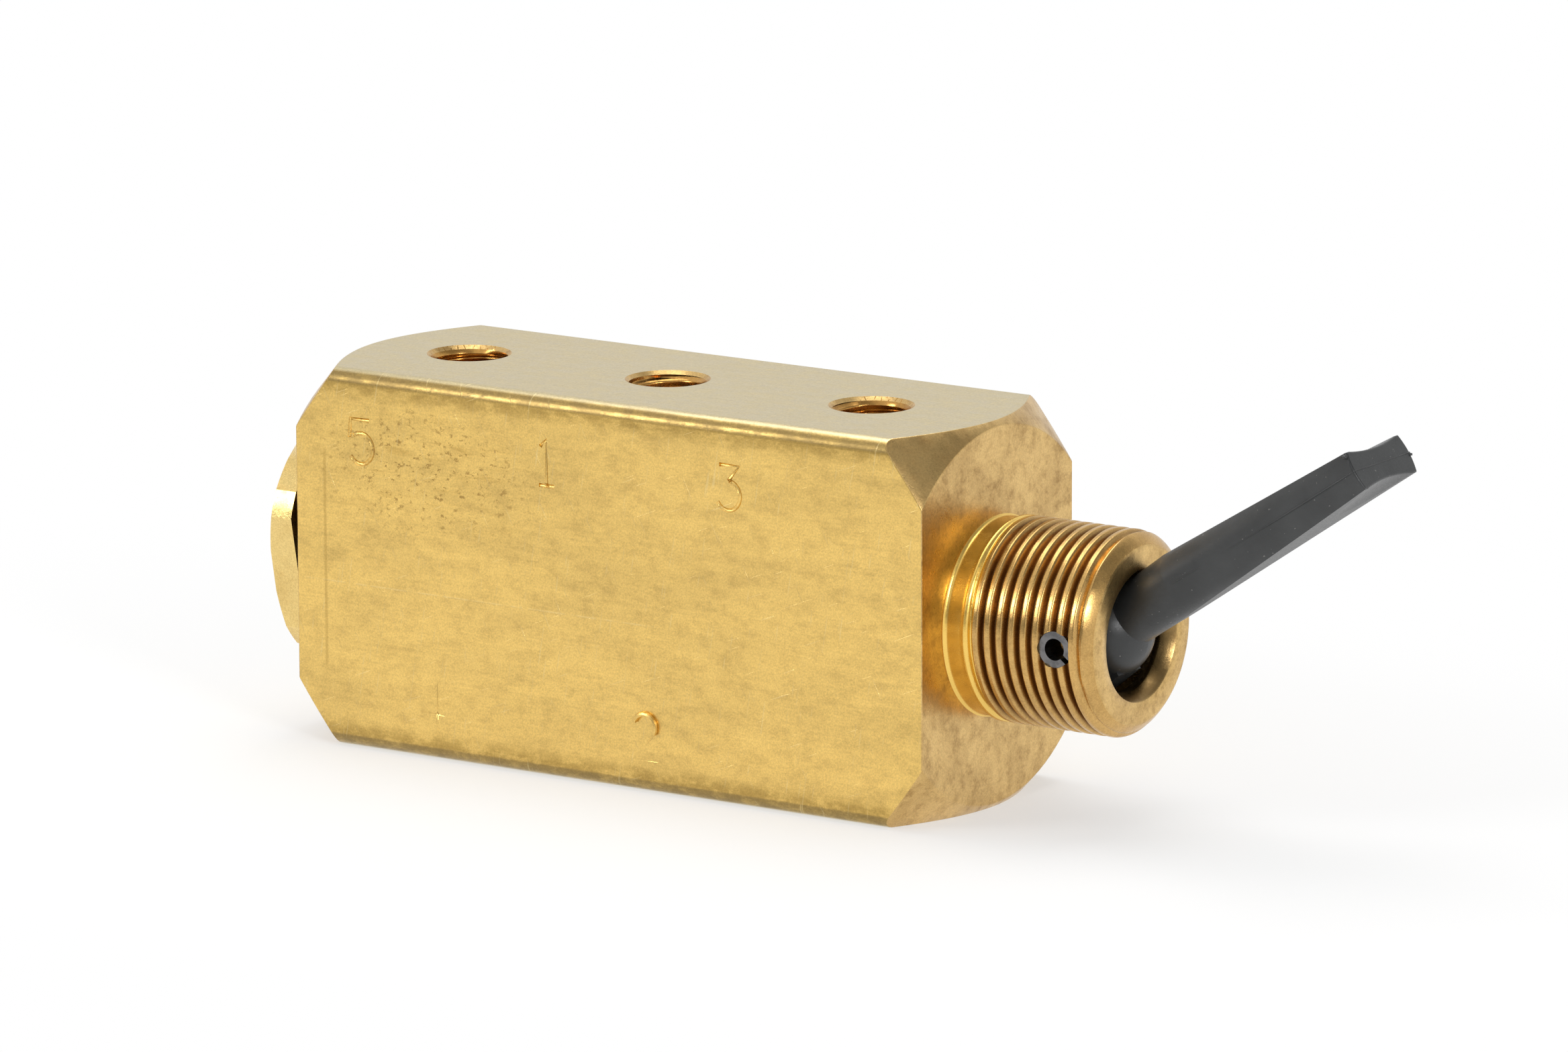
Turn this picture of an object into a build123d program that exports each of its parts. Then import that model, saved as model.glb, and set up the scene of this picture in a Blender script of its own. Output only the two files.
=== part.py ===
from build123d import *
import math
import os

# Five-port toggle valve: a brass bar body with a packed spool bore, a threaded mounting boss at its
# front end and a moulded lever on a cross pin inside the boss.
# Millimetres. X runs along the bore towards the lever, Z is up, the origin is on the bore axis in
# the plane of the front end face, which is the seat against a panel.

# Body bar
body_length = 43.2
body_width = 15.875
body_height = 22.4
bar_edge_radius = 0.8
end_face_radius = 10.9
end_cone_angle = 45.0

# Mounting boss
boss_length = 9.58
boss_radius = 5.9
boss_neck_radius = 5.64
boss_neck_length = 1.25
boss_tip_length = 0.78
boss_tip_radius = 5.06
mouth_radius = 3.80
mouth_depth = 0.81
lip_radius = 3.38
lip_length = 0.6
cam_chamber_radius = 4.0

# Ports
front_port_inset = 8.49
rear_port_inset = 6.77
port_radius = 2.06
port_mouth_radius = 2.48
port_depth = 5.4
passage_radius = 1.2

# Packed bore
packing_radius = 4.5
seal_section_radius = 0.855
seal_gap = 1.85
seal_clearance = 0.02
cage_clearance = 0.05
cage_bore_clearance = 0.2
cage_groove_width = 3.2
cage_groove_depth = 0.6
cage_hole_radius = 0.75
cage_hole_count = 6
front_guide_length = 1.5
guide_clearance = 0.06

# Spool and thrust button
spool_waist_radius = 1.75
spool_rear_overhang = 0.9
spring_pocket_radius = 1.35
spring_pocket_depth = 5.0
spool_front_gap = 1.0
button_head_radius = 3.6
button_head_length = 1.5
button_stem_radius = 1.9
button_spigot_radius = 1.1
button_spigot_length = 3.0

# Rear plug and gasket
plug_thread_clearance = 0.03
plug_nose_clearance = 0.05
plug_flat_inset = 0.3375
plug_corner_overhang = 0.4125
plug_corner_turndown = 0.65
plug_head_length = 1.8
plug_chamfer_angle = 30.0
plug_corner_angle = 161.0
spool_room_radius = 2.95
spool_room_spare = 0.5
spring_seat_radius = 1.6
plug_wall = 1.0
gasket_thickness = 0.3
gasket_inset = 0.3
gasket_width = 1.4

# Return spring
spring_mean_radius = 1.05
spring_wire_radius = 0.17
spring_turns = 7
spring_end_clearance = 0.05

# Lever, its cam and the cross pin
pivot_inset = 2.25
lever_rise = 33.0
lever_axis_lift = 0.187
hub_radius = 2.69
cam_stroke = 1.6
cam_least_reach = 1.8
cam_gap = 0.08
cam_thickness = 2.4
root_reach = 1.0
root_radius = 1.75
rim_reach = 3.9
rim_lift = 0.11
rim_section_radius = 1.78
neck_reach = 6.0
neck_radius = 1.86
flare_reach = 13.0
flare_radius = 2.13
lever_reach = 21.2
lever_end_radius = 3.06
flat_start_reach = 4.0
flat_start_height = 1.88
flat_end_height = 1.15
grip_width = 5.0
grip_depth = 0.24
grip_length = 4.0
lever_end_rounding = 0.12
pin_radius = 1.03
pin_bore_radius = 0.63
pin_slit = 0.3
pin_slit_angle = -38.0
pin_end_inset = 0.12
pin_running_clearance = 0.05

# Places that follow from the sizes
half_width = body_width / 2
half_height = body_height / 2
rear_face = -body_length
plug_across_flats = body_width - 2 * plug_flat_inset
plug_corner_radius = half_width + plug_corner_overhang
plug_face_radius = plug_corner_radius - plug_corner_turndown
gasket_radius = plug_face_radius - gasket_inset
plug_thread_radius = gasket_radius - gasket_width
plug_seat = rear_face - gasket_thickness
plug_rear = plug_seat - plug_head_length
pivot_x = boss_length - pivot_inset
lip_front = boss_length - mouth_depth
lip_rear = lip_front - lip_length
port_pitch = (body_length - front_port_inset - rear_port_inset) / 4
port_3 = -front_port_inset
port_2 = port_3 - port_pitch
port_1 = port_2 - port_pitch
port_4 = port_1 - port_pitch
port_5 = port_4 - port_pitch
port_order = {"5": port_5, "4": port_4, "1": port_1, "2": port_2, "3": port_3}
seal_places = [port_5 + (number - 0.5) * port_pitch for number in range(6)]
cage_length = port_pitch - seal_gap
packing_rear = seal_places[0] - seal_gap / 2
packing_front = seal_places[5] + seal_gap / 2
packing_end = packing_front + front_guide_length
plug_nose = packing_rear - plug_nose_clearance
spool_radius = packing_radius - 2 * (seal_section_radius + seal_clearance)
spool_front = packing_end + spool_front_gap
spool_rear = seal_places[0] - spool_rear_overhang
spool_room_end = spool_rear - cam_stroke - spool_room_spare
spring_seat_end = plug_rear + plug_wall
spring_rear = spring_seat_end + spring_wire_radius + spring_end_clearance
spring_front = spool_rear + spring_pocket_depth - spring_wire_radius - spring_end_clearance
land_overlap = cam_stroke / 2
rear_waist = (seal_places[1] + land_overlap, seal_places[2] + land_overlap)
front_waist = (seal_places[3] + land_overlap, seal_places[4] + land_overlap)
button_face = pivot_x - cam_least_reach - cam_gap
button_head_rear = button_face - button_head_length
pin_half_length = math.sqrt(boss_radius**2 - pin_radius**2) - pin_end_inset

# Lever frame: reach runs along the lever from the pivot, lift runs across it in its swing plane
reach_x = math.cos(math.radians(lever_rise))
reach_z = math.sin(math.radians(lever_rise))
lever_direction = (reach_x, 0, reach_z)
lever_side = Plane(origin=(pivot_x, 0, 0), x_dir=lever_direction, z_dir=(0, -1, 0))
cam_offset = cam_stroke / 2 / reach_z
cam_radius = cam_least_reach + cam_stroke / 2
flat_slope = (flat_start_height - flat_end_height) / (lever_reach - flat_start_reach)
grip_slope = grip_depth / grip_length + flat_slope
grip_arc_radius = (grip_width**2 / 4 + grip_depth**2) / (2 * grip_depth)


def lever_point(reach, lift):
    """World point at a reach and lift in the lever's frame."""
    return (pivot_x + reach * reach_x - lift * reach_z, 0, reach * reach_z + lift * reach_x)


def lever_section(reach, lift):
    """Plane across the lever, with its second axis along the lift."""
    return Plane(origin=lever_point(reach, lift), x_dir=(0, 1, 0), z_dir=lever_direction)


def cam_point(angle):
    """Reach and lift of a point of the cam circle, by its direction from the circle's centre."""
    turn = math.radians(angle)
    return (cam_radius * math.cos(turn), cam_radius * math.sin(turn) - cam_offset)


os.makedirs("parts", exist_ok=True)

# Body: rounded bar with both ends turned to a cone, the boss, the stepped bore and five ports
with BuildPart() as valve_body:
    with BuildSketch(Plane.YZ.offset(rear_face)):
        RectangleRounded(body_width, body_height, bar_edge_radius)
    extrude(amount=body_length)
    cone_rise = math.hypot(half_width, half_height) - end_face_radius
    cone_run = cone_rise / math.tan(math.radians(end_cone_angle))
    with BuildSketch(Plane.XZ):
        with BuildLine():
            Polyline(
                (rear_face, 0),
                (rear_face, end_face_radius),
                (rear_face + cone_run, end_face_radius + cone_rise),
                (-cone_run, end_face_radius + cone_rise),
                (0, end_face_radius),
                (0, 0),
                close=True,
            )
        make_face()
    revolve(axis=Axis.X, mode=Mode.INTERSECT)
    with BuildSketch(Plane.XZ):
        with BuildLine():
            Polyline(
                (-bar_edge_radius, 0),
                (-bar_edge_radius, boss_neck_radius),
                (boss_neck_length, boss_neck_radius),
                (boss_neck_length, boss_radius),
                (boss_length - boss_tip_length, boss_radius),
                (boss_length, boss_tip_radius),
                (boss_length, 0),
                close=True,
            )
        make_face()
    revolve(axis=Axis.X)
    with BuildSketch(Plane.XZ):
        with BuildLine():
            Polyline(
                (rear_face, 0),
                (rear_face, plug_thread_radius),
                (plug_nose + plug_nose_clearance, plug_thread_radius),
                (plug_nose + plug_nose_clearance, packing_radius),
                (packing_end, packing_radius),
                (packing_end, cam_chamber_radius),
                (lip_rear, cam_chamber_radius),
                (lip_rear, lip_radius),
                (lip_front, lip_radius),
                (boss_length, mouth_radius),
                (boss_length, 0),
                close=True,
            )
        make_face()
    revolve(axis=Axis.X, mode=Mode.SUBTRACT)
    for side, places in ((1, (port_5, port_1, port_3)), (-1, (port_4, port_2))):
        face = Plane.XY.offset(side * half_height)
        spots = [(place, 0) for place in places]
        with BuildSketch(face):
            with Locations(spots):
                Circle(port_radius)
        extrude(amount=-side * port_depth, mode=Mode.SUBTRACT)
        with BuildSketch(face):
            with Locations(spots):
                Circle(passage_radius)
        extrude(amount=-side * (half_height - packing_radius / 2), mode=Mode.SUBTRACT)
        rims = [
            edge
            for edge in valve_body.edges().filter_by(GeomType.CIRCLE)
            if abs(edge.radius - port_radius) < 1e-4 and abs(edge.arc_center.Z - side * half_height) < 1e-4
        ]
        chamfer(rims, length=port_mouth_radius - port_radius)
    with BuildSketch(Plane.XZ):
        with Locations((pivot_x, 0)):
            Circle(pin_radius)
    extrude(amount=boss_radius, both=True, mode=Mode.SUBTRACT)
valve_body.part.label = "valve_body"
export_step(valve_body.part, "parts/valve_body.step")

# Rear plug: hexagon head with its corners turned down, a short threaded shank and a stepped pocket
with BuildPart() as rear_plug:
    with BuildSketch(Plane.YZ.offset(plug_rear)):
        RegularPolygon(plug_across_flats / 2, 6, major_radius=False, rotation=plug_corner_angle)
    extrude(amount=plug_head_length)
    chamfer_run = (plug_corner_radius - plug_face_radius) * math.tan(math.radians(plug_chamfer_angle))
    with BuildSketch(Plane.XZ):
        with BuildLine():
            Polyline(
                (plug_rear, 0),
                (plug_rear, plug_face_radius),
                (plug_rear + chamfer_run, plug_corner_radius),
                (plug_seat, plug_corner_radius),
                (plug_seat, 0),
                close=True,
            )
        make_face()
    revolve(axis=Axis.X, mode=Mode.INTERSECT)
    with BuildSketch(Plane.YZ.offset(plug_seat)):
        Circle(plug_thread_radius - plug_thread_clearance)
    extrude(amount=plug_nose - plug_seat)
    with BuildSketch(Plane.YZ.offset(spool_room_end)):
        Circle(spool_room_radius)
    extrude(amount=plug_nose - spool_room_end, mode=Mode.SUBTRACT)
    with BuildSketch(Plane.YZ.offset(spring_seat_end)):
        Circle(spring_seat_radius)
    extrude(amount=plug_nose - spring_seat_end, mode=Mode.SUBTRACT)
rear_plug.part.label = "rear_plug"
export_step(rear_plug.part, "parts/rear_plug.step")

# Gasket between the plug's head and the body
with BuildPart() as plug_gasket:
    with BuildSketch(Plane.YZ.offset(plug_seat)):
        Circle(gasket_radius)
        Circle(plug_thread_radius, mode=Mode.SUBTRACT)
    extrude(amount=gasket_thickness)
plug_gasket.part.label = "plug_gasket"
export_step(plug_gasket.part, "parts/plug_gasket.step")

# Port cages: a ring at each port with an outer groove and radial holes
for number, place in port_order.items():
    with BuildPart() as port_cage:
        with BuildSketch(Plane.YZ.offset(place - cage_length / 2)):
            Circle(packing_radius - cage_clearance)
            Circle(spool_radius + cage_bore_clearance, mode=Mode.SUBTRACT)
        extrude(amount=cage_length)
        with BuildSketch(Plane.YZ.offset(place - cage_groove_width / 2)):
            Circle(packing_radius)
            Circle(packing_radius - cage_clearance - cage_groove_depth, mode=Mode.SUBTRACT)
        extrude(amount=cage_groove_width, mode=Mode.SUBTRACT)
        for turn in range(cage_hole_count):
            angle = math.radians(turn * 360 / cage_hole_count)
            outward = (0, math.sin(angle), math.cos(angle))
            with BuildSketch(Plane(origin=(place, 0, 0), x_dir=(1, 0, 0), z_dir=outward)):
                Circle(cage_hole_radius)
            extrude(amount=packing_radius, mode=Mode.SUBTRACT)
    port_cage.part.label = "port_cage_" + number
    export_step(port_cage.part, "parts/port_cage_" + number + ".step")

# Spool seals: one ring on each side of every port
for number, place in enumerate(seal_places, start=1):
    with BuildPart() as seal_ring:
        with BuildSketch(Plane.XZ):
            with Locations((place, packing_radius - seal_clearance - seal_section_radius)):
                Circle(seal_section_radius - seal_clearance)
        revolve(axis=Axis.X)
    seal_ring.part.label = "seal_ring_" + str(number)
    export_step(seal_ring.part, "parts/seal_ring_" + str(number) + ".step")

# Front guide: the ring that closes the packing and carries the spool's nose
with BuildPart() as front_guide:
    with BuildSketch(Plane.YZ.offset(packing_front)):
        Circle(packing_radius - cage_clearance)
        Circle(spool_radius + guide_clearance, mode=Mode.SUBTRACT)
    extrude(amount=front_guide_length - cage_clearance)
front_guide.part.label = "front_guide"
export_step(front_guide.part, "parts/front_guide.step")

# Spool: two waists join each outlet to the inlet or to its exhaust
with BuildPart() as spool:
    with BuildSketch(Plane.XZ):
        with BuildLine():
            Polyline(
                (spool_rear, 0),
                (spool_rear, spool_radius),
                (rear_waist[0], spool_radius),
                (rear_waist[0], spool_waist_radius),
                (rear_waist[1], spool_waist_radius),
                (rear_waist[1], spool_radius),
                (front_waist[0], spool_radius),
                (front_waist[0], spool_waist_radius),
                (front_waist[1], spool_waist_radius),
                (front_waist[1], spool_radius),
                (spool_front, spool_radius),
                (spool_front, 0),
                close=True,
            )
        make_face()
    revolve(axis=Axis.X)
    with BuildSketch(Plane.YZ.offset(spool_rear)):
        Circle(spring_pocket_radius)
    extrude(amount=spring_pocket_depth, mode=Mode.SUBTRACT)
    with BuildSketch(Plane.YZ.offset(spool_front)):
        Circle(button_spigot_radius)
    extrude(amount=-button_spigot_length, mode=Mode.SUBTRACT)
spool.part.label = "spool"
export_step(spool.part, "parts/spool.step")

# Thrust button: a headed stem on the front of the spool that the cam pushes
with BuildPart() as thrust_button:
    with BuildSketch(Plane.XZ):
        with BuildLine():
            Polyline(
                (spool_front - button_spigot_length, 0),
                (spool_front - button_spigot_length, button_spigot_radius),
                (spool_front, button_spigot_radius),
                (spool_front, button_stem_radius),
                (button_head_rear, button_stem_radius),
                (button_head_rear, button_head_radius),
                (button_face, button_head_radius),
                (button_face, 0),
                close=True,
            )
        make_face()
    revolve(axis=Axis.X)
thrust_button.part.label = "thrust_button"
export_step(thrust_button.part, "parts/thrust_button.step")

# Return spring between the plug and the spool
with BuildPart() as return_spring:
    with BuildLine() as coil:
        Helix(
            pitch=(spring_front - spring_rear) / spring_turns,
            height=spring_front - spring_rear,
            radius=spring_mean_radius,
            center=(spring_rear, 0, 0),
            direction=(1, 0, 0),
        )
    with BuildSketch(Plane(origin=coil.line @ 0, z_dir=coil.line % 0)):
        Circle(spring_wire_radius)
    sweep(path=coil.line, is_frenet=True)
return_spring.part.label = "return_spring"
export_step(return_spring.part, "parts/return_spring.step")

# Toggle lever: ball hub with a cam, round neck, and a paddle that widens as its two flats converge
with BuildPart() as toggle_lever:
    low_touch = cam_point(180 - lever_rise)
    high_touch = cam_point(180 + lever_rise)
    far = 2 * hub_radius
    trim_top = (low_touch[0] + far * reach_z, low_touch[1] + far * reach_x)
    with BuildSketch(lever_section(neck_reach, lever_axis_lift)):
        Circle(neck_radius)
    with BuildSketch(lever_section(rim_reach, rim_lift)):
        Circle(rim_section_radius)
    with BuildSketch(lever_section(root_reach, 0)):
        Circle(root_radius)
    loft()
    with Locations((pivot_x, 0, 0)):
        Sphere(hub_radius)
    with BuildSketch(lever_side):
        with BuildLine():
            Polyline(
                (low_touch[0] - far, low_touch[1] - 2 * far),
                high_touch,
                cam_point(180 + lever_rise / 2),
                cam_point(180),
                cam_point(180 - lever_rise / 2),
                low_touch,
                trim_top,
                (low_touch[0] - far, trim_top[1]),
                close=True,
            )
        make_face()
    extrude(amount=hub_radius, both=True, mode=Mode.SUBTRACT)
    with BuildSketch(lever_side):
        with BuildLine():
            ThreePointArc(low_touch, cam_point(180), high_touch)
            Polyline(high_touch, (0, pin_running_clearance - hub_radius), (0, low_touch[1]), low_touch)
        make_face()
    extrude(amount=cam_thickness / 2, both=True)
    with BuildSketch(lever_side):
        with BuildLine():
            Line((neck_reach, lever_axis_lift), (neck_reach, lever_axis_lift + neck_radius))
            flare = Spline(
                (neck_reach, lever_axis_lift + neck_radius),
                (flare_reach, lever_axis_lift + flare_radius),
                (lever_reach, lever_axis_lift + lever_end_radius),
            )
            Polyline(flare @ 1, (lever_reach, lever_axis_lift), (neck_reach, lever_axis_lift))
        make_face()
    revolve(axis=Axis(lever_point(0, lever_axis_lift), lever_direction))
    for side in (1, -1):
        flat_start = lever_axis_lift + side * flat_start_height
        flat_end = lever_axis_lift + side * flat_end_height
        outside = lever_axis_lift + side * far
        with BuildSketch(lever_side):
            with BuildLine():
                Polyline(
                    (flat_start_reach, flat_start),
                    (lever_reach, flat_end),
                    (lever_reach + 1, flat_end),
                    (lever_reach + 1, outside),
                    (flat_start_reach, outside),
                    close=True,
                )
            make_face()
        extrude(amount=far, both=True, mode=Mode.SUBTRACT)
        hollow_lift = lever_axis_lift + side * (flat_end_height - grip_depth + grip_arc_radius)
        run_x = -reach_x - side * grip_slope * reach_z
        run_z = -reach_z + side * grip_slope * reach_x
        with BuildSketch(lever_section(lever_reach, hollow_lift)):
            Circle(grip_arc_radius)
        extrude(amount=grip_length + 1, dir=(run_x, 0, run_z), mode=Mode.SUBTRACT)
    end_edges = toggle_lever.faces().sort_by(Axis((0, 0, 0), lever_direction))[-1].edges()
    fillet(end_edges, radius=lever_end_rounding)
    with BuildSketch(lever_side):
        Circle(pin_radius + pin_running_clearance)
    extrude(amount=hub_radius, both=True, mode=Mode.SUBTRACT)
toggle_lever.part.label = "toggle_lever"
export_step(toggle_lever.part, "parts/toggle_lever.step")

# Slotted spring pin across the boss
with BuildPart() as pivot_pin:
    with BuildSketch(Plane.XZ.offset(-pin_half_length)):
        with Locations((pivot_x, 0)):
            Circle(pin_radius)
            Circle(pin_bore_radius, mode=Mode.SUBTRACT)
        turn = math.radians(pin_slit_angle)
        slit_x = pivot_x + pin_radius * math.cos(turn)
        with Locations(Location((slit_x, pin_radius * math.sin(turn)), pin_slit_angle)):
            Rectangle(2 * (pin_radius - pin_bore_radius) + pin_slit, pin_slit, mode=Mode.SUBTRACT)
    extrude(amount=2 * pin_half_length)
pivot_pin.part.label = "pivot_pin"
export_step(pivot_pin.part, "parts/pivot_pin.step")
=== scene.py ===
import logging
import math
from collections.abc import Callable, Sequence
from dataclasses import dataclass, field
from enum import Enum

import bmesh
import bpy
from mathutils import Matrix, Vector


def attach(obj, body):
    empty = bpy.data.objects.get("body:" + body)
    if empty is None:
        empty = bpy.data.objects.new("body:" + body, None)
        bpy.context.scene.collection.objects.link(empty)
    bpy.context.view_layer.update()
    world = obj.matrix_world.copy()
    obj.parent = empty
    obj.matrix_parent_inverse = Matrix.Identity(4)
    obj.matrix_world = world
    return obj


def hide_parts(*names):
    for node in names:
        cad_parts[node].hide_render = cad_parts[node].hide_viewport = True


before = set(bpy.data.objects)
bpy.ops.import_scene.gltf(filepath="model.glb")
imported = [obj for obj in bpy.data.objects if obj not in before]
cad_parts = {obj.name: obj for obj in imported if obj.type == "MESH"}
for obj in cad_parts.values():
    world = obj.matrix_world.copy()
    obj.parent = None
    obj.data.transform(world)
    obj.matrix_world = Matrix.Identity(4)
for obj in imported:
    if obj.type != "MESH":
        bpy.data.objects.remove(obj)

LOG = logging.getLogger("toggle_valve")

MM = 0.001
Point2 = tuple[float, float]
Colour = tuple[float, float, float]


class Grain(Enum):
    """The way in which the tool marks of a metal surface run."""

    DRAWN_ALONG_X = "drawn"
    TURNED_ABOUT_X = "turned"
    CAST = "even"


class Shade:
    """Builds one node material, with its places given in millimetres of the row frame."""

    def __init__(self, name: str) -> None:
        """Start an empty principled material.

        Args:
            name: The material's name.
        """
        self.material = bpy.data.materials.new(name)
        self.material.use_nodes = True
        self.tree = self.material.node_tree
        self.surface = self.tree.nodes["Principled BSDF"]
        place = self.tree.nodes.new("ShaderNodeTexCoord").outputs["Object"]
        self.mm = self.vector("SCALE", place, scale=1.0 / MM)

    def node(self, kind: str, values: dict[int | str, object] | None = None, **settings: object) -> bpy.types.Node:
        """Add a node, set its properties, and link or set its inputs.

        Args:
            kind: The node's type.
            values: What each input gets: another node's output to link, or a constant.
            settings: The node's own properties.

        Returns:
            The new node.
        """
        made = self.tree.nodes.new(kind)
        for name, value in settings.items():
            setattr(made, name, value)
        for key, value in (values or {}).items():
            if isinstance(value, bpy.types.NodeSocket):
                self.tree.links.new(value, made.inputs[key])
            else:
                made.inputs[key].default_value = value
        return made

    def vector(self, operation: str, a: object, b: object = None, scale: float | None = None) -> bpy.types.NodeSocket:
        """Do vector arithmetic.

        Args:
            operation: The vector operation.
            a: The first vector.
            b: The second vector, where there is one.
            scale: The factor of a SCALE operation.

        Returns:
            The resulting vector.
        """
        values: dict[int | str, object] = {0: a}
        if b is not None:
            values[1] = b
        if scale is not None:
            values["Scale"] = scale
        return self.node("ShaderNodeVectorMath", values, operation=operation).outputs[0]

    def maths(self, operation: str, a: object, b: object = 0.0) -> bpy.types.NodeSocket:
        """Do arithmetic on one or two numbers.

        Args:
            operation: The operation.
            a: The first number or output.
            b: The second number or output.

        Returns:
            The result.
        """
        return self.node("ShaderNodeMath", {0: a, 1: b}, operation=operation).outputs[0]

    def axes(self) -> tuple[bpy.types.NodeSocket, bpy.types.NodeSocket, bpy.types.NodeSocket]:
        """Split the place on the piece into X, Y and Z in millimetres."""
        parts = self.node("ShaderNodeSeparateXYZ", {0: self.mm})
        return parts.outputs[0], parts.outputs[1], parts.outputs[2]

    def from_axis(self) -> bpy.types.NodeSocket:
        """Distance from the bore axis in millimetres."""
        _, y, z = self.axes()
        flat = self.node("ShaderNodeCombineXYZ", {1: y, 2: z}).outputs[0]
        return self.node("ShaderNodeVectorMath", {0: flat}, operation="LENGTH").outputs["Value"]

    def noise(self, per_mm: Sequence[float], detail: float = 3.0, roughness: float = 0.55,
              shift: Sequence[float] = (0.0, 0.0, 0.0), where: bpy.types.NodeSocket | None = None) -> bpy.types.NodeSocket:
        """Make noise with its own fineness along each axis.

        Args:
            per_mm: Waves per millimetre along X, Y and Z.
            detail: The number of finer layers.
            roughness: How strong the finer layers are.
            shift: A move of the pattern, so that two patterns differ.
            where: The place to read, the piece's own place if not given.

        Returns:
            The noise, from 0 to 1.
        """
        spot = self.vector("MULTIPLY", where or self.mm, tuple(per_mm))
        spot = self.vector("ADD", spot, tuple(shift))
        values = {"Vector": spot, "Scale": 1.0, "Detail": detail, "Roughness": roughness}
        return self.node("ShaderNodeTexNoise", values).outputs["Fac"]

    def between(self, value: object, low: float, high: float, out_low: float = 0.0, out_high: float = 1.0) -> bpy.types.NodeSocket:
        """Turn a stretch of values smoothly into another.

        Args:
            value: What is read.
            low: The value that gives out_low.
            high: The value that gives out_high.
            out_low: The result at and below low.
            out_high: The result at and above high.

        Returns:
            The result.
        """
        values = {0: value, 1: low, 2: high, 3: out_low, 4: out_high}
        return self.node("ShaderNodeMapRange", values, interpolation_type="SMOOTHSTEP").outputs[0]

    def blend(self, share: object, a: object, b: object, how: str = "MIX") -> bpy.types.NodeSocket:
        """Mix two colours.

        Args:
            share: How much of b is taken.
            a: The first colour.
            b: The second colour.
            how: The way of mixing.

        Returns:
            The mixed colour.
        """
        values = {0: share, 6: opaque(a), 7: opaque(b)}
        return self.node("ShaderNodeMix", values, data_type="RGBA", blend_type=how).outputs[2]

    def relief(self, height: object, depth_mm: float, under: bpy.types.NodeSocket | None = None) -> bpy.types.NodeSocket:
        """Turn a height into a bump.

        Args:
            height: The height, from 0 to 1.
            depth_mm: How deep the relief is.
            under: Another bump below this one.

        Returns:
            The normal.
        """
        values: dict[int | str, object] = {"Strength": 1.0, "Distance": depth_mm * MM, "Height": height}
        if under is not None:
            values["Normal"] = under
        return self.node("ShaderNodeBump", values).outputs[0]

    def connect(self, socket: str, value: object) -> None:
        """Set or link one input of the surface.

        Args:
            socket: The input's name.
            value: A constant or an output.
        """
        if isinstance(value, bpy.types.NodeSocket):
            self.tree.links.new(value, self.surface.inputs[socket])
        else:
            self.surface.inputs[socket].default_value = opaque(value)


def opaque(colour: object) -> object:
    """Give a colour of three numbers its fourth, and pass on anything else."""
    if isinstance(colour, tuple) and len(colour) == 3:
        return (*colour, 1.0)
    return colour


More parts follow.
